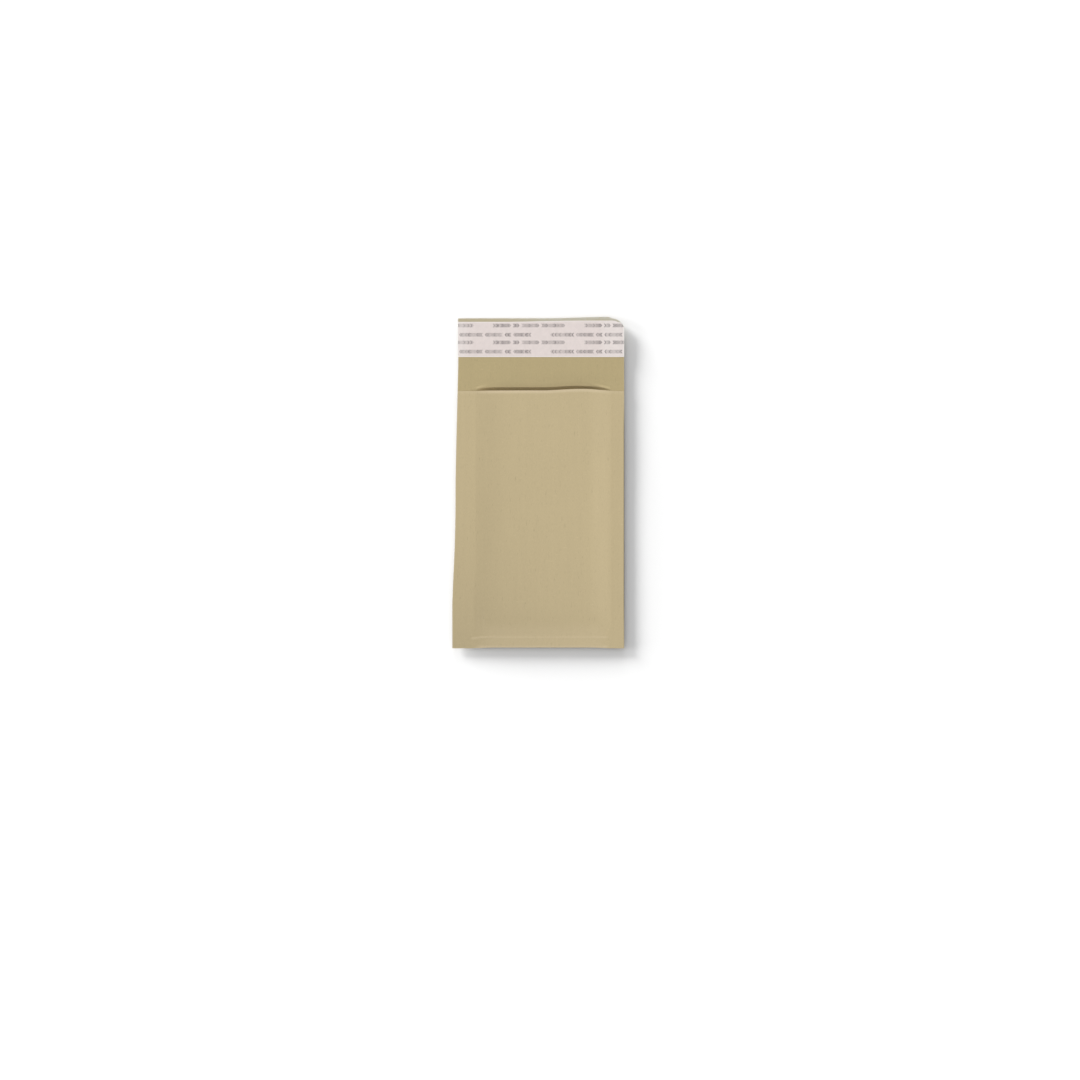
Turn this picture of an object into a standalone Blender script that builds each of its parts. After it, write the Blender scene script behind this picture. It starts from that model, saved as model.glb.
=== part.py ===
"""A small padded postal envelope: a kraft paper pouch lined with bubble film.

It lies on its back with the flap open. X runs across it, Y from the bottom fold to the flap's edge, and
Z is up. The origin is on the table, under the middle of the whole length and width. Sizes are in metres.
"""

import math

import bmesh
import bpy

# Outline of the envelope as it lies
WIDTH = 0.100
POCKET_LENGTH = 0.150
FLAP_LENGTH = 0.0425
LEFT_SLANT = 0.0034
RIGHT_SLANT = 0.0005
SLANT_START = 0.026
BOTTOM_PULL = 0.0009
TIP_SLANT = 0.0013
TIP_CORNER_RUN = 0.0095
TIP_CORNER_DROP = 0.0038
TIP_CORNER_POWER = 3.2

# Paper web and its seals
PAPER = 0.0003
LEFT_SEAL = 0.0134
RIGHT_SEAL = 0.0094
BOTTOM_BAND = 0.0065
SEAM_FILM = 0.0002
SEAM_UNDERSIDE = 0.0024

# Swell of the padded panel between its seals
PAD_HEIGHT = 0.0076
FLANK = 0.014
CROWN = 0.40

# Mouth
LIP_DIP = 0.0006
LIP_BOW = 0.0007
LIP_BOW_X = 0.026
LIP_BOW_HALF = 0.018
LIP_FALL = 0.45
LIP_FALL_RUN = 0.034
LIP_LEAN = 0.0001
CREASE_GAP = 0.0019
CREASE_LEAST = 0.0003
MOUTH_CORNER = 0.008
DIP_RUN = 0.008
DIP_POWER = 6
FLOOR_STEP = 0.00002
MOUTH_EXIT = 0.0009

# Flap
FLAP_DROOP = 0.0018
FLAP_DROOP_POWER = 1.3

# Bubble lining
FILM = 0.0003
FILM_GAP = 0.0003
LINING_SETBACK = 0.003
LINING_EDGE = 0.0003
CELL_DIAMETER = 0.010
CELL_HEIGHT = 0.0026
CELL_SPACING = 0.002
CELL_GAP = 0.0005
CELL_LEAST = 0.0009
CELL_SIDES = 8
CELL_PROFILE = ((0, 0), (0.5, 0), (1, 0), (0.88, 0.62), (0.5, 0.94), (0, 1))

# Adhesive strip and its release liner
LINER_HEIGHT = 0.021
LINER_MARGIN = 0.0021
LINER_SIDE = 0.0003
STRIP_EDGE = 0.0004
LINER_THICKNESS = 0.0002
ADHESIVE_HEIGHT = 0.017
ADHESIVE_SIDE = 0.004
ADHESIVE_THICKNESS = 0.0002
STRIP_GAP = 0.0002

# Fineness of the grids, in cells
SEAL_CELLS = 2
CORNER_COLUMNS = 6
PAD_COLUMNS = 20
PAD_ROWS = 24
POCKET_COLUMNS = 19
POCKET_ROWS = 23
THROAT_ROWS = 4
FLAP_ROWS = 8
LINING_COLUMNS = 16
LINING_ROWS = 24
STRIP_COLUMNS = 16
STRIP_ROWS = 3

MERGE = 1e-7

BOTTOM_Y = -(POCKET_LENGTH + FLAP_LENGTH) / 2
LIP_Y = BOTTOM_Y + POCKET_LENGTH
TIP_Y = LIP_Y + FLAP_LENGTH
BAND_Y = BOTTOM_Y + BOTTOM_BAND
SEAM_TOP = SEAM_UNDERSIDE + 2 * PAPER + SEAM_FILM
FRONT_RISE = PAD_HEIGHT - SEAM_TOP


def clamp(value):
    return min(max(value, 0.0), 1.0)


def slant(y):
    """0 in the lower stretch, growing to 1 at the mouth and staying there along the flap."""
    start = BOTTOM_Y + SLANT_START
    return clamp((y - start) / (LIP_Y - start))


def left_edge(y):
    return -WIDTH / 2 + LEFT_SLANT * slant(y)


def right_edge(y):
    return WIDTH / 2 - RIGHT_SLANT * slant(y)


def left_seal_line(y):
    """The seal's inner line, square to the bottom fold, while the cut edge slants across the seal."""
    return -WIDTH / 2 + LEFT_SEAL


def right_seal_line(y):
    return WIDTH / 2 - RIGHT_SEAL


def swell(distance):
    """0 at a seal line, rising as a quarter of a sine wave to 1 one flank away from it."""
    return math.sin(math.pi / 2 * clamp(distance / FLANK))


def side_swell(x, y):
    return swell(x - left_seal_line(y)) * swell(right_seal_line(y) - x)


def bottom_line(x):
    """The bottom fold: the padding draws its middle up a little between the flat corners."""
    return BOTTOM_Y + BOTTOM_PULL * side_swell(x, BOTTOM_Y)


def bow(x):
    """How far the mouth's two edges bow out towards the flap, in one place to the right of the middle."""
    offset = clamp(abs(x - LIP_BOW_X) / LIP_BOW_HALF)
    return LIP_BOW * (1 + math.cos(math.pi * offset)) / 2


def lip_line(x):
    """The front panel's top edge, which is lowest in the seals."""
    return LIP_Y - LIP_DIP * (1 - side_swell(x, LIP_Y)) + bow(x)


def crease_line(x):
    """The crease that the flap folds along, just past the lip, which it meets at the mouth's corners."""
    to_corner = min(x - left_seal_line(LIP_Y), right_seal_line(LIP_Y) - x)
    opened = math.sin(math.pi / 2 * clamp(to_corner / MOUTH_CORNER))
    return LIP_Y + CREASE_LEAST + (CREASE_GAP - CREASE_LEAST) * opened + bow(x)


def tip_line(x):
    """The flap's edge: it climbs slightly to the right, and its right corner is worn down."""
    corner_start = WIDTH / 2 - TIP_CORNER_RUN
    corner = TIP_CORNER_DROP * clamp((x - corner_start) / TIP_CORNER_RUN) ** TIP_CORNER_POWER
    climb = TIP_SLANT * clamp((corner_start - x) / WIDTH)
    return TIP_Y - climb - corner


def front_z(x, y):
    """Upper face of the front panel."""
    crown = 1 - CROWN * (x / (WIDTH / 2)) ** 2
    fall = LIP_FALL * max(1 - (LIP_Y - y) / LIP_FALL_RUN, 0) ** 2
    fullness = side_swell(x, y) * swell(y - BAND_Y) * crown * (1 - fall)
    return SEAM_TOP + FRONT_RISE * fullness


def back_z(x, y):
    """Underside of the back sheet and flap: on the table in its middle, up at the seals and the crease."""
    past_crease = y - crease_line(x)
    climb = clamp((past_crease + DIP_RUN) / DIP_RUN) ** DIP_POWER
    fullness = side_swell(x, y) * swell(y - BAND_Y) * (1 - climb)
    droop = FLAP_DROOP * clamp(past_crease / (FLAP_LENGTH - CREASE_GAP)) ** FLAP_DROOP_POWER
    return SEAM_UNDERSIDE * (1 - fullness) - droop


def back_top(x, y):
    """Upper face of the back sheet, which runs on as the flap's inner face."""
    return back_z(x, y) + PAPER


def pocket_roof(x, y):
    return front_z(x, y) - PAPER


def pocket_floor(x, y):
    return back_top(x, y) + FLOOR_STEP


def lining_roof(x, y):
    return pocket_roof(x, y) - FILM_GAP


def lining_floor(x, y):
    return pocket_floor(x, y) + FILM_GAP


def seal_distance(height):
    """How far in from two seal lines at once, at a corner, the pocket has this height."""
    share = (height - SEAM_FILM + FLOOR_STEP) / (FRONT_RISE * (1 - CROWN) + SEAM_UNDERSIDE)
    return FLANK * math.asin(math.sqrt(share)) * 2 / math.pi


def level(value):
    """A straight grid line, square to its axis."""
    return lambda across: value


def shifted(line, distance):
    """The same grid line, moved along its axis."""
    return lambda across: line(across) + distance


def line_between(start, end, share):
    return start + (end - start) * (1 - math.cos(math.pi * share)) / 2


def station(zones, number, across):
    """Where a grid line lies. Each zone has a start line, an end line and its cells, finer at both ends."""
    for start, end, cells in zones:
        if number <= cells:
            return line_between(start(across), end(across), number / cells)
        number -= cells
    raise ValueError("the grid has more lines than its zones")


def cells_in(zones):
    return sum(cells for start, end, cells in zones)


def slab(columns, rows, roof, floor):
    """A closed slab with a grid above and below. roof and floor give z for a point and its grid row."""
    bm = bmesh.new()
    across = cells_in(columns)
    along = cells_in(rows)
    bmesh.ops.create_grid(bm, x_segments=across, y_segments=along, size=0.5)
    lower = set(bm.verts)
    bmesh.ops.solidify(bm, geom=bm.faces[:], thickness=1.0)
    upper = set(bm.verts) - lower
    for vert in bm.verts:
        column = round((vert.co.x + 0.5) * across)
        row = round((vert.co.y + 0.5) * along)
        y = station(rows, row, station(columns, column, 0.0))
        x = station(columns, column, y)
        height = roof if vert in upper else floor
        vert.co = (x, y, height(x, y, row))
    bmesh.ops.remove_doubles(bm, verts=bm.verts, dist=MERGE)
    bmesh.ops.recalc_face_normals(bm, faces=bm.faces)
    return bm


def material(name, colour, roughness, alpha=1.0):
    made = bpy.data.materials.new(name)
    made.use_nodes = True
    shader = made.node_tree.nodes["Principled BSDF"]
    shader.inputs["Base Color"].default_value = (*colour, 1.0)
    shader.inputs["Roughness"].default_value = roughness
    shader.inputs["Metallic"].default_value = 0.0
    shader.inputs["Alpha"].default_value = alpha
    return made


def solid(name, bm, finish):
    mesh = bpy.data.meshes.new(name)
    bm.to_mesh(mesh)
    bm.free()
    mesh.shade_smooth()
    mesh.set_sharp_from_angle(angle=math.radians(35))
    obj = bpy.data.objects.new(name, mesh)
    bpy.context.collection.objects.link(obj)
    if finish:
        mesh.materials.append(finish)
    return obj


def helper(name, bm):
    obj = solid(name, bm, None)
    obj.hide_render = True
    obj.display_type = "WIRE"
    return obj


def combine(obj, other, operation):
    modifier = obj.modifiers.new(operation.lower(), "BOOLEAN")
    modifier.operation = operation
    modifier.object = other
    modifier.solver = "EXACT"


def kraft_shell():
    """The paper: a swollen blank with the flap, and the pocket cut out of it through the mouth."""
    columns = (
        (left_edge, left_seal_line, SEAL_CELLS),
        (left_seal_line, right_seal_line, PAD_COLUMNS),
        (right_seal_line, right_edge, CORNER_COLUMNS),
    )
    rows = (
        (bottom_line, level(BAND_Y), SEAL_CELLS),
        (level(BAND_Y), lip_line, PAD_ROWS),
        (lip_line, shifted(lip_line, LIP_LEAN), 1),
        (shifted(lip_line, LIP_LEAN), crease_line, THROAT_ROWS),
        (crease_line, tip_line, FLAP_ROWS),
    )
    lip_row = SEAL_CELLS + PAD_ROWS

    def outer_top(x, y, row):
        return front_z(x, y) if row <= lip_row else back_top(x, y)

    blank = slab(columns, rows, outer_top, lambda x, y, row: back_z(x, y))
    pocket = slab(
        ((left_seal_line, right_seal_line, POCKET_COLUMNS),),
        ((level(BAND_Y), shifted(lip_line, MOUTH_EXIT), POCKET_ROWS),),
        lambda x, y, row: pocket_roof(x, y),
        lambda x, y, row: pocket_floor(x, y),
    )
    shell = solid("kraft_shell", blank, material("kraft_paper", (0.52, 0.42, 0.26), 0.85))
    combine(shell, helper("pocket_space", pocket), "DIFFERENCE")
    return shell


def lining_zones(edge, setback):
    """Grid zones of the lining, drawn in from the seal lines by edge and from the lip by setback."""
    columns = ((shifted(left_seal_line, edge), shifted(right_seal_line, -edge), LINING_COLUMNS),)
    rows = ((level(BAND_Y + edge), shifted(lip_line, -setback), LINING_ROWS),)
    return columns, rows


def film_edge():
    """Distance of the lining's own side edges from the seal lines, where the two films still have room."""
    return seal_distance(2 * FILM_GAP + 2 * FILM + LINING_EDGE)


def film_inner_edge():
    return film_edge() + 2 * FILM


def lining_blank():
    return slab(
        *lining_zones(film_edge(), LINING_SETBACK),
        lambda x, y, row: lining_roof(x, y),
        lambda x, y, row: lining_floor(x, y),
    )


def lining_space():
    return slab(
        *lining_zones(film_inner_edge(), LINING_SETBACK / 2),
        lambda x, y, row: lining_roof(x, y) - FILM,
        lambda x, y, row: lining_floor(x, y) + FILM,
    )


def cell_height(x, y):
    """Height that an air cell may have at this point, so that it clears the one facing it."""
    room = lining_roof(x, y) - lining_floor(x, y) - 2 * FILM
    return min(CELL_HEIGHT, room / 2 - CELL_GAP)


def cell_rim(x, y):
    """Points round the foot of the air cell that is centred here."""
    radius = CELL_DIAMETER / 2
    turns = [2 * math.pi * side / CELL_SIDES for side in range(CELL_SIDES)]
    return [(x + radius * math.cos(turn), y + radius * math.sin(turn)) for turn in turns]


def on_film(x, y):
    side = film_inner_edge() + FILM
    inside = left_seal_line(y) + side < x < right_seal_line(y) - side
    return inside and BAND_Y + side < y < lip_line(x) - LINING_SETBACK - FILM


def cell_places():
    """Centres of the air cells, in staggered rows over the film, with the height that each may have."""
    pitch = CELL_DIAMETER + CELL_SPACING
    row_pitch = pitch * math.sqrt(3) / 2
    rows = int(POCKET_LENGTH / row_pitch) + 1
    columns = int(WIDTH / pitch) + 1
    middle_y = (BAND_Y + LIP_Y - LINING_SETBACK) / 2
    for row in range(-rows // 2, rows // 2 + 1):
        for column in range(-columns // 2, columns // 2 + 1):
            x = (column + (row % 2) / 2) * pitch
            y = middle_y + row * row_pitch
            rim = cell_rim(x, y)
            height = min(cell_height(*point) for point in rim)
            if all(on_film(*point) for point in rim) and height >= CELL_LEAST:
                yield x, y, height


def cell_pattern():
    """One air cell of unit height on a unit radius, turned from its profile."""
    bm = bmesh.new()
    verts = [bm.verts.new((reach, 0.0, lift)) for reach, lift in CELL_PROFILE]
    edges = [bm.edges.new(pair) for pair in zip(verts, verts[1:])]
    bmesh.ops.spin(
        bm,
        geom=verts + edges,
        axis=(0, 0, 1),
        cent=(0, 0, 0),
        angle=2 * math.pi,
        steps=CELL_SIDES,
        use_merge=True,
    )
    bmesh.ops.remove_doubles(bm, verts=bm.verts, dist=MERGE)
    mesh = bpy.data.meshes.new("cell_pattern")
    bm.to_mesh(mesh)
    bm.free()
    return mesh


def air_cells():
    """All air cells, each following the film that it stands on and rooted in half of its thickness."""
    pattern = cell_pattern()
    bm = bmesh.new()
    for x, y, height in cell_places():
        for upward in (True, False):
            first = len(bm.verts)
            bm.from_mesh(pattern)
            bm.verts.ensure_lookup_table()
            for vert in bm.verts[first:]:
                px = x + vert.co.x * CELL_DIAMETER / 2
                py = y + vert.co.y * CELL_DIAMETER / 2
                lift = vert.co.z * (height + FILM / 2)
                if upward:
                    vert.co = (px, py, lining_floor(px, py) + FILM / 2 + lift)
                else:
                    vert.co = (px, py, lining_roof(px, py) - FILM / 2 - lift)
    bpy.data.meshes.remove(pattern)
    bmesh.ops.recalc_face_normals(bm, faces=bm.faces)
    return bm


def bubble_lining():
    """The film pouch: a thin bag inside the paper, with air cells on both of its inner faces."""
    film = material("bubble_film", (0.80, 0.83, 0.84), 0.25, 0.35)
    lining = solid("bubble_lining", lining_blank(), film)
    combine(lining, helper("lining_space", lining_space()), "DIFFERENCE")
    combine(lining, helper("air_cells", air_cells()), "UNION")
    return lining


def flap_strip(side, margin, height, lift, thickness):
    """A thin strip straight across the flap, at a lift above it, that its worn corner cuts off."""

    def upper_line(x):
        return min(TIP_Y - margin, tip_line(x) - STRIP_EDGE)

    return slab(
        ((shifted(left_edge, side), shifted(right_edge, -side), STRIP_COLUMNS),),
        ((level(TIP_Y - margin - height), upper_line, STRIP_ROWS),),
        lambda x, y, row: back_top(x, y) + lift + thickness,
        lambda x, y, row: back_top(x, y) + lift,
    )


def adhesive_strip():
    margin = LINER_MARGIN + (LINER_HEIGHT - ADHESIVE_HEIGHT) / 2
    band = flap_strip(ADHESIVE_SIDE, margin, ADHESIVE_HEIGHT, STRIP_GAP, ADHESIVE_THICKNESS)
    return solid("adhesive_strip", band, material("hot_melt", (0.62, 0.50, 0.28), 0.35))


def release_liner():
    lift = STRIP_GAP + ADHESIVE_THICKNESS + STRIP_GAP
    band = flap_strip(LINER_SIDE, LINER_MARGIN, LINER_HEIGHT, lift, LINER_THICKNESS)
    return solid("release_liner", band, material("liner_paper", (0.76, 0.68, 0.66), 0.55))


def clear_scene():
    for obj in list(bpy.data.objects):
        bpy.data.objects.remove(obj)


def build():
    clear_scene()
    envelope = bpy.data.objects.new("envelope", None)
    bpy.context.collection.objects.link(envelope)
    for piece in (kraft_shell(), bubble_lining(), adhesive_strip(), release_liner()):
        piece.parent = envelope


build()
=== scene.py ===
import math

import bmesh
import bpy
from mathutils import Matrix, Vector, noise


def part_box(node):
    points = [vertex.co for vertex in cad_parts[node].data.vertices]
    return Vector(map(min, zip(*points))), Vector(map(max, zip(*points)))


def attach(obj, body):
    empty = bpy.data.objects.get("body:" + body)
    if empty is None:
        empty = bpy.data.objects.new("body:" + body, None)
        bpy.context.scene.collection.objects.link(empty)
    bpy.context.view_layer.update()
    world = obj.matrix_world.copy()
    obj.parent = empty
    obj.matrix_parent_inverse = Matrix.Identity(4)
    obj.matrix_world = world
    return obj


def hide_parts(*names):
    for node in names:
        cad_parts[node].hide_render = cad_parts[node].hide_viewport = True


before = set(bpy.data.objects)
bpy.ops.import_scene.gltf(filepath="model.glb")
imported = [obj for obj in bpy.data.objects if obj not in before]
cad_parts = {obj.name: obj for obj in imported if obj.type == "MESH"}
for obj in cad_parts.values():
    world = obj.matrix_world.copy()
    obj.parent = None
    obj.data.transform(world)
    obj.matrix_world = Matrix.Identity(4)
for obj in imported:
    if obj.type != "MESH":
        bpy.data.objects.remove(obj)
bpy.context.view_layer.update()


# The kraft paper body. A mailer of this kind is one web of brown machine-glazed kraft, about 0.15 mm thick.
# It is folded across at the bottom, its sides are pressed to each other with heated bars over the film
# between them, and the back sheet runs on past the mouth as the flap, which shows the web's inner face.

shell_low, shell_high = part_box("kraft_shell")

paper = 0.00015
half_width = shell_high.x
bottom_y = shell_low.y
tip_y = shell_high.y
pad_top = shell_high.z
pocket_length = 0.1497
lip_y = bottom_y + pocket_length


def clamp(value):
    return min(max(value, 0.0), 1.0)


def mix(start, end, share):
    return start + (end - start) * share


def ease(value):
    value = clamp(value)
    return value * value * (3 - 2 * value)


def ridge(offset, half):
    """A smooth ridge of height 1 that ends at half on either side."""
    return (1 + math.cos(math.pi * clamp(abs(offset) / half))) / 2


def waver(along, length, seed):
    """A line's slow unevenness, between -1 and 1, in waves about as long as length."""
    return noise.noise(Vector((along / length, 0.0, seed)))


def unevenness(x, y, length_x, length_y, seed):
    """A sheet's slow unevenness, between -1 and 1, with a length of wave for each direction."""
    return noise.noise(Vector((x / length_x, y / length_y, seed)))


# The left side is cut at a slant and a little hollow. The right one is a hair prouder on the pocket
left_slant = 0.0034
slant_start = bottom_y + 0.026
slant_end = lip_y + 0.012
left_hollow = 0.0006
left_hollow_y = -0.030
left_hollow_half = 0.045
left_edge_waver = 0.0001
pocket_proud = 0.00006
pocket_proud_run = 0.012
right_edge_waver = 0.00005


def left_edge(y):
    slanted = left_slant * clamp((y - slant_start) / (slant_end - slant_start))
    hollow = left_hollow * ridge(y - left_hollow_y, left_hollow_half)
    return -half_width + slanted + hollow + left_edge_waver * (1 + waver(y, length=0.021, seed=3.0))


def right_edge(y):
    proud = pocket_proud * ease((lip_y - y) / pocket_proud_run)
    return half_width + proud - right_edge_waver * (1 + waver(y, length=0.026, seed=7.0))


# Both seals are square to the fold. The left one is the wider, and narrows beside the fold
left_seal = 0.0134
left_seal_narrowing = 0.0014
narrowing_start = -0.045
narrowing_run = 0.023
right_seal = 0.0076
seal_waver = 0.0002


def left_seal_line(y):
    narrower = left_seal_narrowing * ease((narrowing_start - y) / narrowing_run)
    return -half_width + left_seal - narrower + seal_waver * waver(y, length=0.018, seed=11.0)


def right_seal_line(y):
    return half_width - right_seal + seal_waver * waver(y, length=0.023, seed=17.0)


# A flank is the width over which the padding swells up from a seal, or from the lining's fold
left_flank = 0.019
right_flank = 0.014
bottom_flank = 0.019
flank_onset = 0.0012


def swell(distance, flank):
    """0 at a seal line, rising softly and then as a quarter of a sine wave to 1 one flank away from it."""
    distance = max(distance, 0.0)
    eased = distance**2 / (distance + flank_onset) * (flank + flank_onset) / flank
    return math.sin(math.pi / 2 * clamp(eased / flank))


def side_swell(x, y):
    return swell(x - left_seal_line(y), left_flank) * swell(right_seal_line(y) - x, right_flank)


# The front sheet's lip dips at its ends, and bows up to the right of its middle
lip_dip = 0.00015
lip_bow = 0.0009
lip_bow_x = 0.0245
lip_bow_half = 0.023
lip_waver = 0.00006


def bow(x):
    """1 where the open lip is pushed furthest up, and 0 away from there."""
    return ridge(x - lip_bow_x, lip_bow_half)


def lip_line(x):
    dip = lip_dip * (1 - side_swell(x, lip_y))
    return lip_y - dip + lip_bow * bow(x) + lip_waver * waver(x, length=0.012, seed=23.0)


# The mouth opens more quickly from its left corner than from its right one
left_opening_run = 0.0032
right_opening_run = 0.0072
crease_gap = 0.0020
crease_least = 0.0003
crease_waver = 0.00005


def mouth_opening(x):
    """How far the mouth is open here: 0 at its corners, and almost 1 along most of its length."""
    from_left = max(x - left_seal_line(lip_y), 0.0)
    from_right = max(right_seal_line(lip_y) - x, 0.0)
    return (1 - math.exp(-from_left / left_opening_run)) * (1 - math.exp(-from_right / right_opening_run))


def crease_line(x):
    """Where the flap begins: away from the lip over the open mouth, and against it at its corners."""
    gap = mix(crease_least, crease_gap, mouth_opening(x))
    return lip_y + gap + lip_bow * bow(x) + crease_waver * waver(x, length=0.020, seed=29.0)


# The flap's edge climbs to the right, steps down once, and its corner is worn away
tip_climb = 0.0008
tip_climb_x = 0.004
tip_climb_run = 0.036
step_x = 0.0404
step_run = 0.0032
step_drop = 0.0009
corner_run = 0.0075
corner_drop = 0.0052
corner_power = 2.6
tip_waver = 0.00008


def tip_line(x):
    climb = tip_climb * (1 - ease((x - tip_climb_x) / tip_climb_run))
    step = step_drop * ease((x - step_x) / step_run)
    corner = corner_drop * clamp((x - half_width + corner_run) / corner_run) ** corner_power
    return tip_y - climb - step - corner - tip_waver * waver(x, length=0.006, seed=37.0)


# In a seam, each sheet's middle keeps seam_half away from the seam's middle plane, with the film between.
# From just below the lip on, the right side lifts from the table
seam_z = 0.0028
seam_half = 0.00020
seam_waver = 0.00018
side_lift = 0.0004
side_lift_y = lip_y - 0.012
side_lift_run = 0.020
side_lift_x = 0.028


def seam_plane(x, y):
    """Height of the seams' middle plane, which lifts and sags a little along the sides."""
    loose = 1 - side_swell(x, y)
    lifted = ease((y - side_lift_y) / side_lift_run) * ease((x - side_lift_x) / (half_width - side_lift_x))
    return seam_z + side_lift * lifted + seam_waver * loose * unevenness(x, y, 0.06, 0.04, seed=2.0)


# The bottom fold stays open a little between its flat corners. The lining's fold lies bottom_band above
bottom_band = 0.0065
band_y = bottom_y + bottom_band
bottom_pull = 0.0004
fold_half = 0.0007


def band_line(x):
    return band_y


def fold_radius(x):
    """Half the height of the bottom fold, which is pressed flat at the corners."""
    return seam_half + fold_half * side_swell(x, bottom_y)


def fold_foot_line(x):
    """Where the flat sheets end and the bottom fold's bend begins."""
    return bottom_y + bottom_pull * side_swell(x, bottom_y) + fold_radius(x)


# How far in from the side each of the seals' lines lies, and its depth
seal_grooves = ((0.0040, 0.00004), (0.0072, 0.00003))
groove_half = 0.0007
groove_fade = 0.006


def grooves(x, y):
    """The seals' shallow lines, pressed by the ribs of the heated bars. They fade out on the flap."""
    from_side = min(x - left_edge(y), right_edge(y) - x)
    pressed = sum(depth * ridge(from_side - place, groove_half) for place, depth in seal_grooves)
    return pressed * (1 - ease((y - lip_y) / groove_fade))


pucker_height = 0.00008
pucker_middle = 0.005
pucker_half = 0.008


def puckers(x, y):
    """Small wrinkles that run in from the side seals, where the flat web is drawn over the padding."""
    from_seal = min(x - left_seal_line(y), right_seal_line(y) - x)
    drawn = pucker_height * ridge(from_seal - pucker_middle, pucker_half)
    return drawn * unevenness(x, y, 0.02, 0.007, seed=5.0)


# The lining stops short of the lip, and its air cells stand in staggered rows
lining_setback = 0.0026
cell_pitch = 0.012
cell_row_pitch = cell_pitch * math.sqrt(3) / 2
cell_middle_y = (band_y + lip_y - lining_setback) / 2
cell_show = 0.00006


def cells_showing(x, y):
    """The air cells under the paper show through it as a faint unevenness."""
    row = (y - cell_middle_y) / cell_row_pitch
    column = x / cell_pitch - (round(row) % 2) / 2
    distance = math.hypot((column - round(column)) * cell_pitch, (row - round(row)) * cell_row_pitch)
    return cell_show * ridge(distance, cell_pitch / 2)


# A drawn ridge starts this far into its half wave, and tapers away to its end
ridge_start = 0.25
ridge_bluntness = 0.5


def drawn_ridges(ridges, x, y):
    """Short ridges that the paper is drawn into, each with its start, end, height and half width."""
    height = 0.0
    for start, end, lift, half in ridges:
        along = end - start
        share = clamp((Vector((x, y)) - start).dot(along) / along.length_squared)
        distance = (Vector((x, y)) - start - share * along).length
        taper = math.sin(math.pi * mix(ridge_start, 1.0, share)) ** ridge_bluntness
        height += lift * ridge(distance, half) * taper
    return height


# At the left end of the bottom fold the padding pinches the paper
fold_ridges = (
    (Vector((-0.0385, -0.0904)), Vector((-0.0222, -0.0890)), 0.00042, 0.0010),
    (Vector((-0.0352, -0.0868)), Vector((-0.0352, -0.0700)), 0.00006, 0.0012),
    (Vector((-0.0320, -0.0880)), Vector((-0.0322, -0.0740)), 0.00009, 0.0010),
)

# The padding is crowned across its width and falls towards the lip, where the paper rolls down past it.
# The film's top edge and its fold stand out as fine lines in the paper
crown = 0.40
lip_fall = 0.45
lip_fall_run = 0.034
lip_bow_rise = 0.45
lip_roll = 0.0005
lip_roll_power = 1.5
film_edge_height = 0.00009
film_edge_half = 0.0008
fold_edge_height = 0.00014
fold_edge_half = 0.0013


def front_height(x, y):
    """Middle of the front sheet."""
    side = side_swell(x, y)
    full = side * swell(y - band_y, bottom_flank)
    below_lip = lip_line(x) - y
    fall = lip_fall * (1 - lip_bow_rise * bow(x)) * clamp(1 - below_lip / lip_fall_run) ** 2
    opened = seam_half + fold_half * side
    rise = pad_top - paper / 2 - seam_z - seam_half - fold_half
    padding = rise * full * (1 - crown * (x / half_width) ** 2) * (1 - fall)
    roll = lip_roll * side * clamp(1 - below_lip / lining_setback) ** lip_roll_power
    film_edge = film_edge_height * ridge(below_lip - lining_setback, film_edge_half)
    fold_edge = fold_edge_height * side * ridge(y - band_y, fold_edge_half)
    relief = puckers(x, y) + cells_showing(x, y) * full - grooves(x, y) + drawn_ridges(fold_ridges, x, y)
    return seam_plane(x, y) + opened + padding - roll + film_edge + fold_edge + relief


# The back sheet climbs to the crease over dip_run. Its sides open with the mouth over mouth_reach
dip_run = 0.009
dip_power = 4
mouth_reach = 0.012


def back_height(x, y):
    """Middle of the back sheet, flat on the table under the padding and up at the seals and the crease."""
    climb = clamp((y - crease_line(x) + dip_run) / dip_run) ** dip_power
    side = side_swell(x, y)
    side = mix(side, max(side, mouth_opening(x)), ease((y - lip_y + mouth_reach) / mouth_reach))
    opened = seam_half + fold_half * side * (1 - clamp((y - band_y) / bottom_flank))
    drop = seam_z - seam_half - paper / 2
    full = side * swell(y - band_y, bottom_flank) * (1 - climb)
    height = seam_plane(x, y) - opened - drop * full + grooves(x, y)
    return max(height, paper / 2)


# The mouth's two ends pull short ridges into the flap
mouth_ridges = (
    (Vector((-0.0385, 0.0544)), Vector((-0.0275, 0.0571)), 0.00036, 0.0011),
    (Vector((0.0410, 0.0548)), Vector((0.0295, 0.0576)), 0.00040, 0.0012),
    (Vector((0.0425, 0.0560)), Vector((0.0340, 0.0596)), 0.00014, 0.0011),
)

# The flap sags to the table on its left and floats on its right. Its valley deepens up to the middle
left_droop = 0.0014
right_droop = 0.0001
droop_power = 1.3
flap_sag = 0.00015
valley_depth = 0.00010
valley_middle = 0.0042
valley_half = 0.0030
valley_start_x = -0.030
valley_start_run = 0.030


def flap_height(x, y):
    """Middle of the flap: it slopes down from the crease, with a shallow valley beside it."""
    past_crease = y - crease_line(x)
    share = clamp(past_crease / (tip_y - lip_y - crease_gap))
    deepened = ease((x - valley_start_x) / valley_start_run)
    valley = valley_depth * ridge(past_crease - valley_middle, valley_half) * deepened
    sag = flap_sag * share * unevenness(x, y, 0.035, 0.020, seed=9.0)
    droop = mix(left_droop, right_droop, ease((x + half_width) / (2 * half_width))) * share**droop_power
    start = seam_plane(x, y) - seam_half + grooves(x, y)
    return start - droop - valley + sag + drawn_ridges(mouth_ridges, x, y)


def back_and_flap_height(x, y):
    return back_height(x, y) if y <= crease_line(x) else flap_height(x, y)


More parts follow.
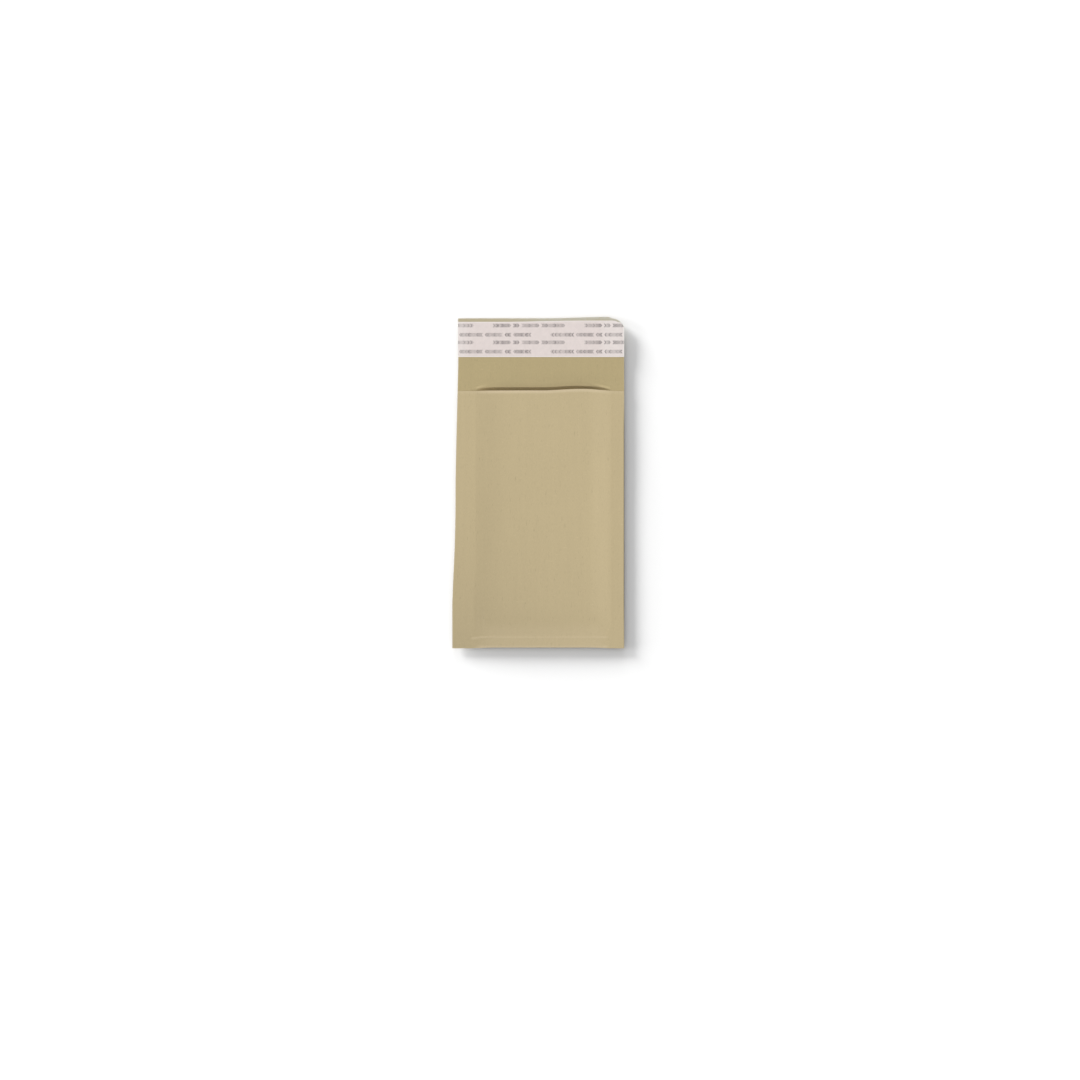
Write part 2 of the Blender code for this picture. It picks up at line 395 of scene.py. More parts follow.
def grid_place(zones, number, across):
    """Where a grid line lies. A zone is a start line, an end line and its cells, finer at both ends."""
    for start, end, cells in zones:
        if number <= cells:
            return mix(start(across), end(across), (1 - math.cos(math.pi * number / cells)) / 2)
        number -= cells
    raise ValueError("the grid has more lines than its zones")


def cells_in(zones):
    return sum(cells for start, end, cells in zones)


def on_grid(columns, rows, column, row):
    y = grid_place(rows, row, grid_place(columns, column, 0.0))
    return grid_place(columns, column, y), y


def folded_place(columns, rows, heights, column, row):
    """A corner of a web that runs down the front, round a fold and up the back."""
    front_rows, fold_cells, back_rows = rows
    upper, lower = heights
    front = cells_in(front_rows)
    if row <= front:
        x, y = on_grid(columns, front_rows, column, row)
        return Vector((x, y, upper(x, y)))
    row -= front + fold_cells
    if row >= 0:
        x, y = on_grid(columns, back_rows, column, row)
        return Vector((x, y, lower(x, y)))
    x, y = on_grid(columns, back_rows, column, 0)
    middle = (upper(x, y) + lower(x, y)) / 2
    radius = (upper(x, y) - lower(x, y)) / 2
    turn = math.pi * (row + fold_cells) / fold_cells
    return Vector((x, y - radius * math.sin(turn), middle + radius * math.cos(turn)))


def mesh_from(bm, name):
    mesh = bpy.data.meshes.new(name)
    bm.to_mesh(mesh)
    bm.free()
    return mesh


def sheet_mesh(name, columns, rows, corner_at, **shares):
    """A sheet of columns by rows cells, with each corner in its place and its share of each named thing."""
    bm = bmesh.new()
    bmesh.ops.create_grid(bm, x_segments=columns, y_segments=rows, size=0.5)
    layers = {thing: bm.verts.layers.float.new(thing) for thing in shares}
    for vert in bm.verts:
        column = round((vert.co.x + 0.5) * columns)
        row = round((vert.co.y + 0.5) * rows)
        vert.co = corner_at(column, row)
        for thing, share in shares.items():
            vert[layers[thing]] = share(vert.co, row)
    return mesh_from(bm, name)


def put_in_scene(name, data):
    new = bpy.data.objects.new(name, data)
    bpy.context.scene.collection.objects.link(new)
    return new


def show(name, mesh, materials):
    piece = put_in_scene(name, mesh)
    for material in materials:
        mesh.materials.append(material)
    return piece


def smooth(mesh, sharp_from):
    """Smooth shading all over, apart from the edges that turn by more than sharp_from degrees."""
    mesh.shade_smooth()
    mesh.set_sharp_from_angle(angle=math.radians(sharp_from))


def thicken(piece, thickness):
    """Gives a sheet its thickness, half to each side, and its second material on the side turned away."""
    modifier = piece.modifiers.new("thickness", "SOLIDIFY")
    modifier.thickness = thickness
    modifier.offset = 0.0
    modifier.material_offset = 1
    evaluated = piece.evaluated_get(bpy.context.evaluated_depsgraph_get())
    mesh = bpy.data.meshes.new_from_object(evaluated)
    piece.modifiers.clear()
    piece.data = mesh
    smooth(mesh, sharp_from=50)


def shader_input(made, name):
    return made.node_tree.nodes["Principled BSDF"].inputs[name]


def finish(name, colour, roughness, specular):
    made = bpy.data.materials.new(name)
    made.use_nodes = True
    shader_input(made, "Base Color").default_value = (*colour, 1.0)
    shader_input(made, "Roughness").default_value = roughness
    shader_input(made, "Specular IOR Level").default_value = specular
    return made


def link(made, value, socket):
    made.node_tree.links.new(value, socket)


def add(made, kind, values=(), **settings):
    """A node with its settings, and with its first sockets linked or set to values."""
    new = made.node_tree.nodes.new(kind)
    for name, value in settings.items():
        setattr(new, name, value)
    for socket, value in zip(new.inputs, values):
        if isinstance(value, bpy.types.NodeSocket):
            link(made, value, socket)
        elif value is not None:
            socket.default_value = value
    return new


def calculate(made, operation, *values):
    return add(made, "ShaderNodeMath", values, operation=operation).outputs["Value"]


def carried(made, thing):
    """The share of a thing that the mesh carries."""
    return add(made, "ShaderNodeAttribute", attribute_name=thing).outputs["Fac"]


def on_object(made):
    """Where a point is on the object, in metres."""
    return add(made, "ShaderNodeTexCoord").outputs["Object"]


def along_axis(made, axis):
    return add(made, "ShaderNodeSeparateXYZ", (on_object(made),)).outputs[axis]


def grain(made, scale, detail):
    """Noise with its own scale along each axis, counted per metre."""
    mapping = add(made, "ShaderNodeMapping", (on_object(made), None, None, scale))
    texture = add(made, "ShaderNodeTexNoise", (mapping.outputs["Vector"],))
    texture.inputs["Scale"].default_value = 1.0
    texture.inputs["Detail"].default_value = detail
    texture.inputs["Roughness"].default_value = 0.6
    return texture.outputs["Fac"]


def remap(made, value, low, high, to_low, to_high):
    return add(made, "ShaderNodeMapRange", (value, low, high, to_low, to_high)).outputs["Result"]


# Nearly all values of a grain lie between these two
grain_low = 0.3
grain_high = 0.7


def varied(made, value, to_low, to_high):
    """A grain's value, stretched over a range of its own."""
    return remap(made, value, grain_low, grain_high, to_low, to_high)


def blended(made, share, start, end):
    """One colour turning into another, each a socket or three numbers, as share goes from 0 to 1."""
    node = add(made, "ShaderNodeMix", data_type="RGBA")
    link(made, share, node.inputs["Factor"])
    for name, colour in (("A", start), ("B", end)):
        if isinstance(colour, bpy.types.NodeSocket):
            link(made, colour, node.inputs[name])
        else:
            node.inputs[name].default_value = (*colour, 1.0)
    return node.outputs["Result"]


def shaded(made, colour, tone):
    """A colour made darker or paler by a tone around 1."""
    return add(made, "ShaderNodeHueSaturation", (None, None, tone, None, colour)).outputs["Color"]


def emboss(made, height, strength, distance):
    """Relief that is too fine for the mesh. distance is how far apart its lowest and highest are."""
    bump = add(made, "ShaderNodeBump")
    bump.inputs["Strength"].default_value = strength
    bump.inputs["Distance"].default_value = distance
    link(made, height, bump.inputs["Height"])
    link(made, bump.outputs["Normal"], shader_input(made, "Normal"))


def wear_and_highlight_share(made):
    """The worn paleness and painted highlights that the mesh carries, broken up into scuffs."""
    scuffs = remap(made, grain(made, (900, 900, 900), detail=3.0), 0.35, 0.6, 0.7, 1.0)
    return calculate(made, "MULTIPLY", carried(made, "wear"), scuffs)


# Painted shade: the colour of the dark rim along the pocket's right edge
singed_colour = (0.12, 0.095, 0.065)
tooth_share = 0.6


def kraft(name, colour, painted_lighting_colour, painted_lighting_share, wear_and_highlight_tone, roughness, streak):
    """Kraft: fine fibres along the web over a soft mottle, dark and pale flecks, paler worn edges and
    painted light.
    """
    made = finish(name, colour, roughness, specular=0.3)
    fibres = grain(made, (5200, 800, 5200), detail=3.0)
    mottle = varied(made, grain(made, (45, 30, 45), detail=2.0), 0.990, 1.010)
    streaks = varied(made, grain(made, (420, 16, 420), detail=2.0), 1 - streak, 1 + streak)
    dark_flecks = remap(made, grain(made, (2300, 260, 2300), detail=1.0), 0.66, 0.76, 1.0, 0.86)
    pale_flecks = remap(made, grain(made, (330, 1900, 1900), detail=1.0), 0.68, 0.78, 1.0, 1.09)
    tone = mottle
    for change in (streaks, varied(made, fibres, 0.95, 1.05), dark_flecks, pale_flecks):
        tone = calculate(made, "MULTIPLY", tone, change)
    # The second colour is painted light: shade on the outer face, and warm bounce light inside the pocket
    # on the inner face
    clean = shaded(made, blended(made, painted_lighting_share(made), colour, painted_lighting_colour), tone)
    # The pale tone of worn edges, which also carries the painted highlights
    worn = blended(made, wear_and_highlight_share(made), clean, wear_and_highlight_tone(made))
    # Painted shade: the dark rim along the pocket's right edge
    singed = blended(made, carried(made, "singed"), worn, singed_colour)
    link(made, singed, shader_input(made, "Base Color"))
    tooth = calculate(made, "MULTIPLY", grain(made, (1500, 1500, 1500), detail=4.0), tooth_share)
    emboss(made, calculate(made, "ADD", fibres, tooth), strength=0.3, distance=0.00003)
    return made


# The web's grid: columns from side to side, and rows down the front, round the fold and up the back
seal_columns = (
    (left_edge, left_seal_line, 24),
    (left_seal_line, right_seal_line, 84),
    (right_seal_line, right_edge, 20),
)
web_rows = (
    ((lip_line, band_line, 110), (band_line, fold_foot_line, 8)),
    6,
    ((fold_foot_line, band_line, 8), (band_line, crease_line, 110), (crease_line, tip_line, 44)),
)
front_row_count = cells_in(web_rows[0])
back_start = front_row_count + web_rows[1]


def web_place(column, row):
    return folded_place(seal_columns, web_rows, (front_height, back_and_flap_height), column, row)


# The painted edge shade starts just below the lip and is fainter beside the fold
singed_gap = 0.002
singed_start_run = 0.024
fold_edge_shade = 0.45
fold_edge_shade_run = 0.030
singed_full = 1.5
singed_width = 0.0003


def singed_edge(point, row):
    """Painted shade: a fine dark rim along the pocket's right edge, standing in for the shade at that
    raised edge.
    """
    from_edge = right_edge(point.y) - point.x
    started = ease((lip_y - point.y - singed_gap) / singed_start_run)
    along = started * mix(fold_edge_shade, 1.0, ease((point.y - bottom_y) / fold_edge_shade_run))
    return along * clamp(singed_full - from_edge / singed_width)


# How strongly each place is worn pale or given a painted highlight, where 1 is fully pale, and how far it
# reaches
side_rub = 0.35
side_rub_width = 0.0006
lip_highlight_closed = 0.28
lip_highlight_open = 0.9
lip_highlight_power = 1.5
lip_highlight_full = 0.0008
lip_highlight_fade = 0.0014
flank_painted_light = 0.22
flank_painted_light_spread = 1.1
flank_painted_light_top = band_y + 0.010
flank_painted_light_run = 0.008
band_highlight = 0.46
band_highlight_half = 0.0010
fold_edge_rub = 0.6
fold_edge_rub_top = bottom_y + 0.0024
fold_edge_rub_run = 0.0018
between_seals_spread = 3
fold_rub = 0.65
# Painted highlight for each metre that a ridge stands up
ridge_highlight = 1300


def front_wear(x, y):
    """Painted highlights at the lip, lining's fold and ridges, painted light at the padding's foot, and the
    worn bottom fold.
    """
    between_seals = ease(side_swell(x, y) * between_seals_spread)
    lip_highlight = mix(lip_highlight_closed, lip_highlight_open, mouth_opening(x) ** lip_highlight_power)
    return (
        lip_highlight * (1 - ease((lip_line(x) - y - lip_highlight_full) / lip_highlight_fade)),
        flank_painted_light * ease(side_swell(x, y) * flank_painted_light_spread) * ease((flank_painted_light_top - y) / flank_painted_light_run),
        band_highlight * between_seals * ridge(y - band_y, band_highlight_half),
        ridge_highlight * drawn_ridges(fold_ridges, x, y),
        fold_edge_rub * between_seals * ease((fold_edge_rub_top - y) / fold_edge_rub_run),
    )


tip_rub_left = 0.48
tip_rub_start_x = -0.030
tip_rub_run = 0.040
tip_rub_full = 1.6
tip_rub_width = 0.0018
# Painted light along the crease and painted highlights at the mouth's two ends
crease_painted_light = 0.25
crease_painted_light_half = 0.0008
mouth_end_highlight = 2.4
mouth_end_highlight_middle = 0.0007
mouth_end_highlight_half = 0.0013


def flap_wear(x, y):
    """The flap's worn edge, most on the right, painted light along its crease, and painted highlights at
    the mouth's two ends.
    """
    tip_rub = mix(tip_rub_left, 1.0, ease((x - tip_rub_start_x) / tip_rub_run))
    opening = mouth_opening(x)
    end_highlight = mouth_end_highlight * opening * (1 - opening)
    return (
        tip_rub * clamp(tip_rub_full - (tip_line(x) - y) / tip_rub_width),
        crease_painted_light * ridge(y - crease_line(x), crease_painted_light_half),
        end_highlight * ridge(y - crease_line(x) - mouth_end_highlight_middle, mouth_end_highlight_half),
    )


def paper_wear(point, row):
    """Worn, paler fibres at the cut edges, bottom fold and corner; painted highlights at the lip, ridges,
    crease and padding's foot.
    """
    x, y = point.x, point.y
    from_side = min(x - left_edge(y), right_edge(y) - x)
    side_wear = side_rub * clamp(1 - from_side / side_rub_width) * (1 - singed_edge(point, row))
    if row <= front_row_count:
        return max(side_wear, *front_wear(x, y))
    if row < back_start:
        return max(side_wear, fold_rub)
    return max(side_wear, *flap_wear(x, y))


# Where the pocket's painted bounce light lies, and how it fades out towards the flap and the mouth's
# corners
inside_fade = 0.0012
inside_spread = 1.5


def paper_inside(point, row):
    """1 inside the pocket and 0 on the flap and at the closed corners of the mouth."""
    within = 1 - ease(0.5 + (point.y - crease_line(point.x)) / inside_fade)
    return within * ease(mouth_opening(point.x) * inside_spread)


def painted_pocket_bounce_light(made):
    """Painted bounce light: the inner face is browner inside the pocket than on the flap, for warm light
    bouncing in the mouth.
    """
    return carried(made, "inside")


# Painted shade: how high the darker corner reaches, how it grows and how much of it the right side keeps
corner_shade_top_y = 0.030
corner_shade_power = 2.0
corner_shade_right_share = 0.22


def painted_corner_shade(made):
    """Painted shade: the outer face is a little darker towards its bottom left corner, standing in for
    light that falls off there.
    """
    down = remap(made, along_axis(made, "Y"), corner_shade_top_y, bottom_y, 0.0, 1.0)
    across = remap(made, along_axis(made, "X"), -half_width, half_width, 1.0, corner_shade_right_share)
    return calculate(made, "MULTIPLY", calculate(made, "POWER", down, corner_shade_power), across)


def outer_wear_and_highlight_tone(made):
    """The outer face's worn edges and painted highlights share one paler tone all over."""
    return (0.63, 0.52, 0.34)


# The crease's painted highlights take the first colour, the flap's worn edge the second
crease_highlight_and_wear_colour = (0.62, 0.50, 0.28)
tip_worn_colour = (0.53, 0.51, 0.43)
worn_turn_margin = 0.010


def inner_wear_and_highlight_tone(made):
    """The inner face pales to a warm painted highlight at the crease, and wears to a greyish tone at the
    flap's edge.
    """
    turn_start = lip_y + worn_turn_margin
    turn_end = tip_y - worn_turn_margin
    up_the_flap = remap(made, along_axis(made, "Y"), turn_start, turn_end, 0.0, 1.0)
    return blended(made, up_the_flap, crease_highlight_and_wear_colour, tip_worn_colour)


# Each face's second colour is painted light: shade towards the outer face's bottom left, warm bounce light
# in the pocket's mouth
outer_kraft = kraft(
    "kraft_outer_face",
    colour=(0.521, 0.425, 0.248),
    painted_lighting_colour=(0.443, 0.362, 0.214),
    painted_lighting_share=painted_corner_shade,
    wear_and_highlight_tone=outer_wear_and_highlight_tone,
    roughness=0.55,
    streak=0.010,
)
inner_kraft = kraft(
    "kraft_inner_face",
    colour=(0.458, 0.371, 0.198),
    painted_lighting_colour=(0.50, 0.38, 0.19),
    painted_lighting_share=painted_pocket_bounce_light,
    wear_and_highlight_tone=inner_wear_and_highlight_tone,
    roughness=0.75,
    streak=0.012,
)
kraft_web = show(
    "kraft_web",
    sheet_mesh(
        "kraft_web",
        cells_in(seal_columns),
        back_start + cells_in(web_rows[2]),
        web_place,
        wear=paper_wear,
        inside=paper_inside,
        singed=singed_edge,
    ),
    (inner_kraft, outer_kraft),
)
thicken(kraft_web, paper)
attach(kraft_web, "root")
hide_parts("kraft_shell")


# The bubble film. A clear polyethylene web, folded like the paper, lies inside it with its flat side glued
# to the paper. It stops short of the lip, and the seals hold its crushed side edges between the sheets.

film = 0.00005
film_gap = 0.00005
film_side = 0.0004
film_fold_step = 0.0012
film_top_waver = 0.00012


def left_film_edge(y):
    return left_edge(y) + film_side


def right_film_edge(y):
    return right_edge(y) - film_side


def film_top_line(x):
    return lip_line(x) - lining_setback + film_top_waver * waver(x, length=0.006, seed=31.0)


def film_foot_line(x):
    return band_y + film_fold_step


def film_front_height(x, y):
    return front_height(x, y) - paper / 2 - film_gap - film / 2


def film_back_height(x, y):
    return back_height(x, y) + paper / 2 + film_gap + film / 2


film_columns = (
    (left_film_edge, left_seal_line, 8),
    (left_seal_line, right_seal_line, 72),
    (right_seal_line, right_film_edge, 7),
)
film_rows = (((film_top_line, film_foot_line, 90),), 6, ((film_foot_line, film_top_line, 90),))


def film_place(column, row):
    return folded_place(film_columns, film_rows, (film_front_height, film_back_height), column, row)


def clear_film(name, alpha, weld_and_glint_alpha=None):
    """Clear film: glossy, faintly milky, and finely crinkled from being rolled up and pressed."""
    made = finish(name, (0.90, 0.92, 0.93), roughness=0.12, specular=0.8)
    shader_input(made, "Alpha").default_value = alpha
    # A higher alpha at the cells' rims: partly the real weld, partly a painted glint along their steep foot
    if weld_and_glint_alpha is not None:
        weld_and_glint = remap(made, carried(made, "milky"), 0.0, 1.0, alpha, weld_and_glint_alpha)
        link(made, weld_and_glint, shader_input(made, "Alpha"))
    wide_crinkle = grain(made, (260, 200, 260), detail=3.0)
    fine_crinkle = grain(made, (900, 700, 900), detail=2.0)
    emboss(made, calculate(made, "ADD", wide_crinkle, fine_crinkle), strength=0.5, distance=0.0002)
    return made


base_film = clear_film("bubble_film_base", alpha=0.16)
film_web = show(
    "bubble_film_web",
    sheet_mesh(
        "bubble_film_web",
        cells_in(film_columns),
        cells_in(film_rows[0]) + film_rows[1] + cells_in(film_rows[2]),
        film_place,
    ),
    (base_film,),
)
thicken(film_web, film)
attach(film_web, "root")
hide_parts("bubble_lining")

# Its air cells are domes drawn into the film in staggered rows, squeezed where the pouch narrows
cell_radius = 0.005
cell_height = 0.0031
cell_fullness = 0.93
cell_fullness_waver = 0.07
cell_room_gap = 0.00012
cell_least = 0.0006
cell_seal_gap = 0.002
cell_sides = 16
weld_and_glint_half = 0.2
# The dome's reach from its middle and its height, as shares of the cell's radius and height
cell_profile = ((0, 0), (1, 0), (0.97, 0.42), (0.85, 0.78), (0.55, 0.96), (0, 1))
# Rows and columns that are tried on each side of the middle
rows_tried = 8
columns_tried = 5


def inside_film(x, y):
    beside = left_seal_line(y) + cell_seal_gap < x < right_seal_line(y) - cell_seal_gap
    return beside and film_foot_line(x) < y < film_top_line(x)


def cell_room(x, y):
    """Height that an air cell may have here, so that it clears the one that faces it."""
    return (film_front_height(x, y) - film_back_height(x, y) - film) / 2 - cell_room_gap


def cell_centres():
    for row in range(-rows_tried, rows_tried + 1):
        for column in range(-columns_tried, columns_tried + 1):
            x = (column + (row % 2) / 2) * cell_pitch
            y = cell_middle_y + row * cell_row_pitch
            rim = [
                (x + cell_radius * math.cos(turn), y + cell_radius * math.sin(turn))
                for turn in (2 * math.pi * side / cell_sides for side in range(cell_sides))
            ]
            if all(inside_film(*point) and cell_room(*point) > cell_least for point in rim):
                yield x, y


def one_cell():
    """An air cell of unit radius and height, turned from its profile."""
    bm = bmesh.new()
    verts = [bm.verts.new((reach, 0.0, lift)) for reach, lift in cell_profile]
    edges = [bm.edges.new(pair) for pair in zip(verts, verts[1:])]
    bmesh.ops.spin(
        bm,
        geom=verts + edges,
        cent=(0, 0, 0),
        axis=(0, 0, 1),
        angle=2 * math.pi,
        steps=cell_sides,
        use_merge=True,
    )
    bmesh.ops.remove_doubles(bm, verts=bm.verts, dist=1e-6)
    bmesh.ops.recalc_face_normals(bm, faces=bm.faces)
    return mesh_from(bm, "one_cell")


def all_cells():
    """The cells of both walls. Each is milky at its rim, partly from the weld that joins it to the flat
    film and partly as a painted glint.
    """
    pattern = one_cell()
    bm = bmesh.new()
    milky = bm.verts.layers.float.new("milky")
    for number, (x, y) in enumerate(cell_centres()):
        fullness = cell_fullness + cell_fullness_waver * waver(number, length=1.7, seed=41.0)
        for upward in (True, False):
            first = len(bm.verts)
            bm.from_mesh(pattern)
            bm.verts.ensure_lookup_table()
            for vert in bm.verts[first:]:
                vert[milky] = ridge(vert.co.xy.length - 1, weld_and_glint_half)
                place = (x + vert.co.x * cell_radius, y + vert.co.y * cell_radius)
                lift = vert.co.z * min(cell_height * fullness, cell_room(*place))
                if upward:
                    vert.co = (*place, film_back_height(*place) + lift)
                else:
                    vert.co = (*place, film_front_height(*place) - lift)
    bpy.data.meshes.remove(pattern)
    bmesh.ops.recalc_face_normals(bm, faces=bm.faces)
    mesh = mesh_from(bm, "air_cells")
    smooth(mesh, sharp_from=60)
    return mesh


cell_film = clear_film("bubble_film_cells", alpha=0.10, weld_and_glint_alpha=0.42)
air_cells = show("air_cells", all_cells(), (cell_film,))
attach(air_cells, "root")


# The adhesive. A band of tacky hot melt, rolled on across the flap's inner face, that keeps faint coating
# lines and uneven ends. The release liner covers it, so only its edge shows under the liner.

glue_low, glue_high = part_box("adhesive_strip")
glue = 0.00012
glue_lift = 0.00006
glue_end_waver = 0.0004
glue_side_waver = 0.0002
coating_line = 0.00002


def glue_left(y):
    return glue_low.x + glue_end_waver * waver(y, length=0.004, seed=51.0)


def glue_right(y):
    return glue_high.x + glue_end_waver * waver(y, length=0.004, seed=53.0)


def glue_bottom(x):
    return glue_low.y + glue_side_waver * waver(x, length=0.010, seed=55.0)


def glue_top(x):
    return glue_high.y + glue_side_waver * waver(x, length=0.010, seed=57.0)


glue_columns = ((glue_left, glue_right, 90),)
glue_rows = ((glue_bottom, glue_top, 20),)


def glue_place(column, row):
    x, y = on_grid(glue_columns, glue_rows, column, row)
    lines = coating_line * unevenness(x, y, 0.05, 0.0013, seed=59.0)
    return Vector((x, y, flap_height(x, y) + paper / 2 + glue_lift + glue / 2 + lines))


hot_melt = finish("hot_melt", (0.60, 0.47, 0.24), roughness=0.28, specular=0.5)
coated = varied(hot_melt, grain(hot_melt, (90, 700, 90), detail=3.0), 0.0, 1.0)
hot_melt_tone = blended(hot_melt, coated, (0.56, 0.43, 0.21), (0.66, 0.53, 0.29))
link(hot_melt, hot_melt_tone, shader_input(hot_melt, "Base Color"))
adhesive = show(
    "adhesive_band",
    sheet_mesh("adhesive_band", cells_in(glue_columns), cells_in(glue_rows), glue_place),
    (hot_melt,),
)
thicken(adhesive, glue)
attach(adhesive, "root")
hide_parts("adhesive_strip")


# The release liner. A full-width strip of pinkish silicone-coated paper, pressed onto the adhesive and
# cut with the web. It is printed with four rows of small arrowheads and is peeled off to close the flap.

liner_low, liner_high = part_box("release_liner")
liner = 0.00007
liner_drop = 0.0002
liner_slant = 0.00068
liner_slant_x = 0.028
liner_slant_run = 0.050
bare_strip = 0.0012
corner_strip = 0.0001
corner_strip_x = 0.0460
corner_strip_run = 0.0025


def liner_bottom(x):
    return liner_low.y - liner_drop


def liner_top(x):
    """Short of the flap's edge by a bare strip of kraft, which the worn corner takes away."""
    slanted = liner_high.y - liner_slant * ease((liner_slant_x - x) / liner_slant_run)
    strip = mix(bare_strip, corner_strip, ease((x - corner_strip_x) / corner_strip_run))
    return min(slanted, tip_line(x) - strip)


liner_columns = ((left_edge, right_edge, 120),)
liner_rows = ((liner_bottom, liner_top, 30),)

liner_clearance = 0.00004
over_glue = glue_lift + glue + liner_clearance
liner_free_lift = 0.00005
liner_edge_run = 0.0012
liner_buckle = 0.00006
right_curl = 0.00045
right_curl_run = 0.0045
left_curl = 0.00012
left_curl_run = 0.006


def liner_height(x, y):
    """Middle of the liner: up over the adhesive and close to the flap along its free margins."""
    in_x = min(x - glue_low.x, glue_high.x - x)
    in_y = min(y - glue_low.y, glue_high.y - y)
    raised = ease(1 + in_x / liner_edge_run) * ease(1 + in_y / liner_edge_run)
    buckle = liner_buckle * (1 + unevenness(x, y, 0.011, 0.030, seed=61.0))
    curl = right_curl * clamp(1 - (half_width - x) / right_curl_run) ** 2
    curl += left_curl * clamp(1 - (x + half_width) / left_curl_run) ** 2
    lift = mix(liner_free_lift, over_glue, raised) + buckle + curl
    return flap_height(x, y) + paper / 2 + liner / 2 + lift


def liner_place(column, row):
    x, y = on_grid(liner_columns, liner_rows, column, row)
    return Vector((x, y, liner_height(x, y)))


# The liner's core shows wider at its right end than along its long edges
core_width = 0.0007
right_core_stretch = 1.8
coating_rub = 0.3
coating_rub_x = -0.002
coating_rub_start = 0.036
coating_rub_run = 0.006


def liner_wear(point, row):
    """The white core shows along all edges but the left one, and the coating is rubbed near both ends."""
    x, y = point.x, point.y
    from_edge = min((right_edge(y) - x) / right_core_stretch, y - liner_bottom(x), liner_top(x) - y)
    coating = coating_rub * ease((abs(x - coating_rub_x) - coating_rub_start) / coating_rub_run)
    return max(1 - ease(from_edge / core_width), coating)


# The print: each row's middle, its first mark and the way its marks point
print_rows = ((0.09128, -0.0257, 1), (0.0859, -0.0047, -1), (0.08145, -0.0257, 1), (0.0761, -0.0047, -1))
mark_height = 0.0021
mark_pitch = 0.000828
mark_slope = 1.0
faintest_mark = 0.35
# How far from the gap between two marks the ink starts and is full, counted in marks
ink_start = 0.12
ink_full = 0.26
# Where a phrase's groups of marks begin and end, counted in marks
marks_in_phrase = 64
mark_groups = ((0, 12), (14, 18), (20, 32), (34, 50))


def liner_print(made):
    """How much ink lies here: rows of small arrowheads in groups."""
    ink = None
    for middle, first, way in print_rows:
        up = calculate(made, "SUBTRACT", along_axis(made, "Y"), middle)
        up = calculate(made, "ABSOLUTE", calculate(made, "DIVIDE", up, mark_height / 2))
        along = calculate(made, "SUBTRACT", along_axis(made, "X"), first)
        along = calculate(made, "DIVIDE", along, way * mark_pitch)
        along = calculate(made, "MULTIPLY_ADD", up, mark_slope, along)
        chance = add(made, "ShaderNodeTexWhiteNoise", noise_dimensions="1D")
        link(made, calculate(made, "FLOOR", along), chance.inputs["W"])
        weight = remap(made, chance.outputs["Value"], 0.0, 1.0, faintest_mark, 1.0)
        stroke = remap(made, calculate(made, "PINGPONG", along, 0.5), ink_start, ink_full, 0.0, 1.0)
        stroke = calculate(made, "MULTIPLY", stroke, weight)
        phrase = calculate(made, "FRACT", calculate(made, "DIVIDE", along, marks_in_phrase))
        groups = add(made, "ShaderNodeValToRGB", (phrase,))
        groups.color_ramp.interpolation = "CONSTANT"
        stops = groups.color_ramp.elements
        stops.remove(stops[1])
        stops[0].color = (1, 1, 1, 1)
        for number, (begin, end) in enumerate(mark_groups):
            if number:
                stops.new(begin / marks_in_phrase).color = (1, 1, 1, 1)
            stops.new(end / marks_in_phrase).color = (0, 0, 0, 1)
        row = calculate(made, "MULTIPLY", stroke, calculate(made, "LESS_THAN", up, 1.0))
        row = calculate(made, "MULTIPLY", row, groups.outputs["Color"])
        ink = row if ink is None else calculate(made, "MAXIMUM", ink, row)
    return ink


liner_colour = (0.755, 0.672, 0.645)
core_colour = (0.88, 0.84, 0.81)
ink_colour = (0.03, 0.02, 0.025)


def liner_stock(name, printed):
    """Silicone-coated paper: smooth, faintly glossy, with a soft cloudy formation."""
    made = finish(name, liner_colour, roughness=0.38, specular=0.45)
    clouds = varied(made, grain(made, (500, 380, 500), detail=4.0), 0.955, 1.03)
    colour = blended(made, wear_and_highlight_share(made), shaded(made, (*liner_colour, 1.0), clouds), core_colour)
    if printed:
        faded = remap(made, grain(made, (1600, 1600, 1600), detail=3.0), 0.3, 0.65, 0.85, 1.0)
        inked = calculate(made, "MULTIPLY", liner_print(made), faded)
        colour = blended(made, inked, colour, ink_colour)
    link(made, colour, shader_input(made, "Base Color"))
    emboss(made, grain(made, (2600, 2600, 2600), detail=3.0), strength=0.2, distance=0.00002)
    return made


release_liner = show(
    "release_liner_strip",
    sheet_mesh(
        "release_liner_strip",
        cells_in(liner_columns),
        cells_in(liner_rows),
        liner_place,
        wear=liner_wear,
    ),
    (liner_stock("liner_printed_face", printed=True), liner_stock("liner_release_face", printed=False)),
)
thicken(release_liner, liner)
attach(release_liner, "root")
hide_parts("release_liner")


# The plain white floor, daylight from all round, a weak key lamp from the right that lights the envelope
# alone, three low lamps that light the floor alone and cast the wide soft shadow, and the camera above.

floor_size = 6.0
floor_tone = 0.52
floor_gap = 0.0001
floor_grid = bmesh.new()
bmesh.ops.create_grid(floor_grid, x_segments=1, y_segments=1, size=floor_size)
white = finish("white_floor", (floor_tone, floor_tone, floor_tone), roughness=1.0, specular=0.0)
floor = show("floor", mesh_from(floor_grid, "floor"), (white,))
floor.location.z = -floor_gap

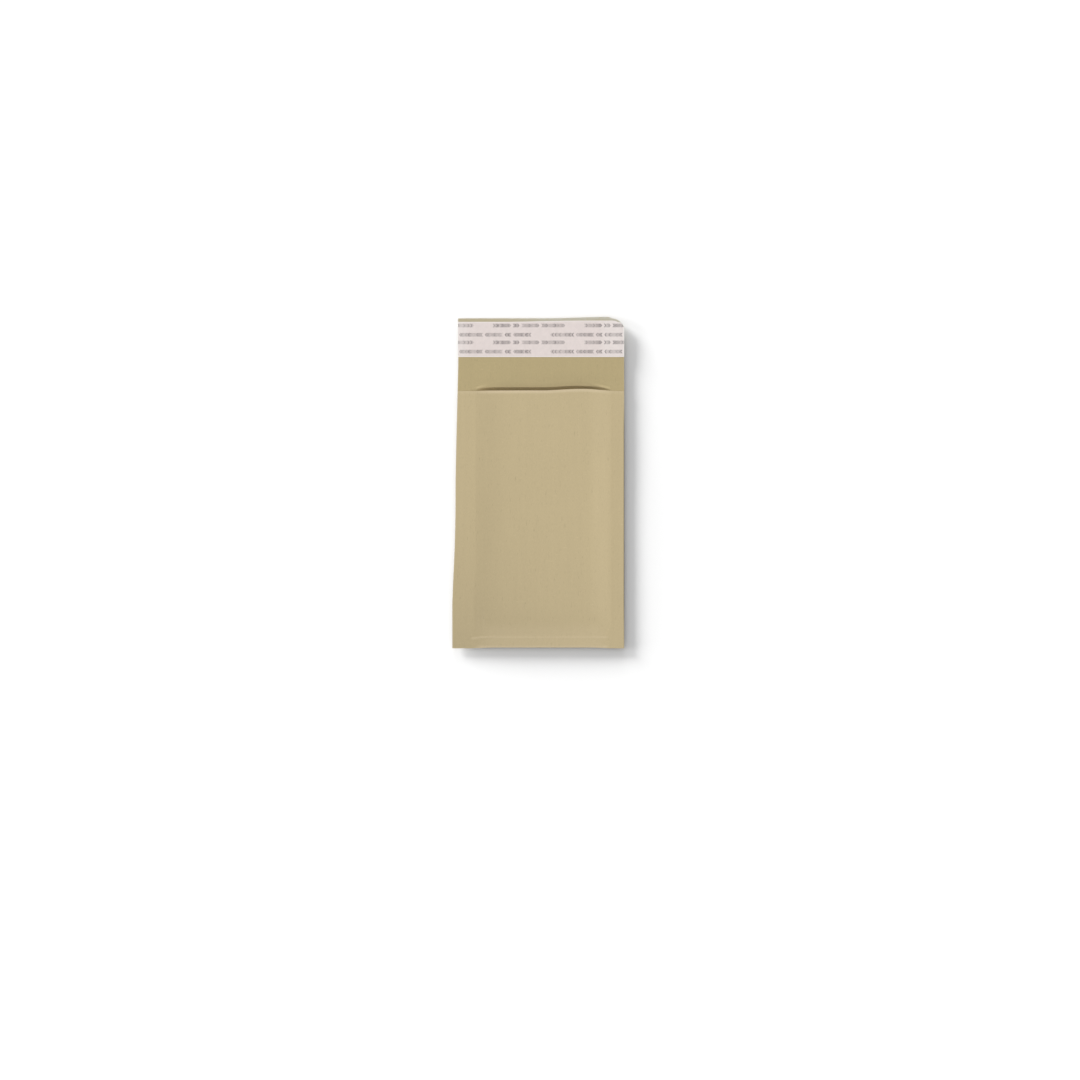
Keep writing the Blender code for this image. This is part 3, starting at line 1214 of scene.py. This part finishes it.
# The daylight leaves the key lamp its share of the light, but shows at its full strength where it is seen
lamp_share = 0.125
world = bpy.data.worlds.new("daylight")
bpy.context.scene.world = world
world.use_nodes = True
background = world.node_tree.nodes["Background"]
background.inputs["Color"].default_value = (1.0, 1.0, 1.0, 1.0)
rays = add(world, "ShaderNodeLightPath").outputs
seen = calculate(world, "MAXIMUM", rays["Is Camera Ray"], rays["Is Glossy Ray"])
seen = calculate(world, "MAXIMUM", seen, rays["Is Transmission Ray"])
strength = calculate(world, "MULTIPLY_ADD", seen, lamp_share, 1 - lamp_share)
link(world, strength, background.inputs["Strength"])


def lamp(name, toward, share, spread, lit):
    """A distant soft lamp on the pieces of one collection. share is what it gives a level white surface."""
    toward = Vector(toward).normalized()
    data = bpy.data.lights.new(name, "SUN")
    data.energy = share * math.pi / toward.z
    data.angle = math.radians(spread)
    made = put_in_scene(name, data)
    made.rotation_mode = "QUATERNION"
    made.rotation_quaternion = toward.to_track_quat("Z", "Y")
    made.light_linking.receiver_collection = lit


envelope_lit = bpy.data.collections.new("envelope_lit")
for piece in (kraft_web, film_web, air_cells, adhesive, release_liner):
    envelope_lit.objects.link(piece)
floor_lit = bpy.data.collections.new("floor_lit")
floor_lit.objects.link(floor)
lamp("key", (0.72, 0.28, 0.63), share=lamp_share, spread=20, lit=envelope_lit)
lamp("shadow_caster", (-0.70, 0.60, 0.19), share=0.78, spread=24, lit=floor_lit)
lamp("shadow_to_the_right", (-0.90, 0.05, 0.18), share=0.22, spread=24, lit=floor_lit)
lamp("shadow_below", (-0.05, 0.90, 0.18), share=0.17, spread=24, lit=floor_lit)

# The camera looks straight down. The origin lies at this column and row of the photo's pixels
frame_width = 0.628
photo_side = 1080
pixel = frame_width / photo_side
object_column = 538.2
object_row = 482.6
sensor = 36.0
camera_height = 4.0
camera_data = bpy.data.cameras.new("camera")
camera_data.sensor_width = sensor
camera_data.lens = sensor * camera_height / frame_width
camera = put_in_scene("camera", camera_data)
camera.location = (
    (photo_side / 2 - object_column) * pixel,
    (object_row - photo_side / 2) * pixel,
    camera_height,
)
bpy.context.scene.camera = camera
bpy.context.scene.view_settings.view_transform = "Standard"
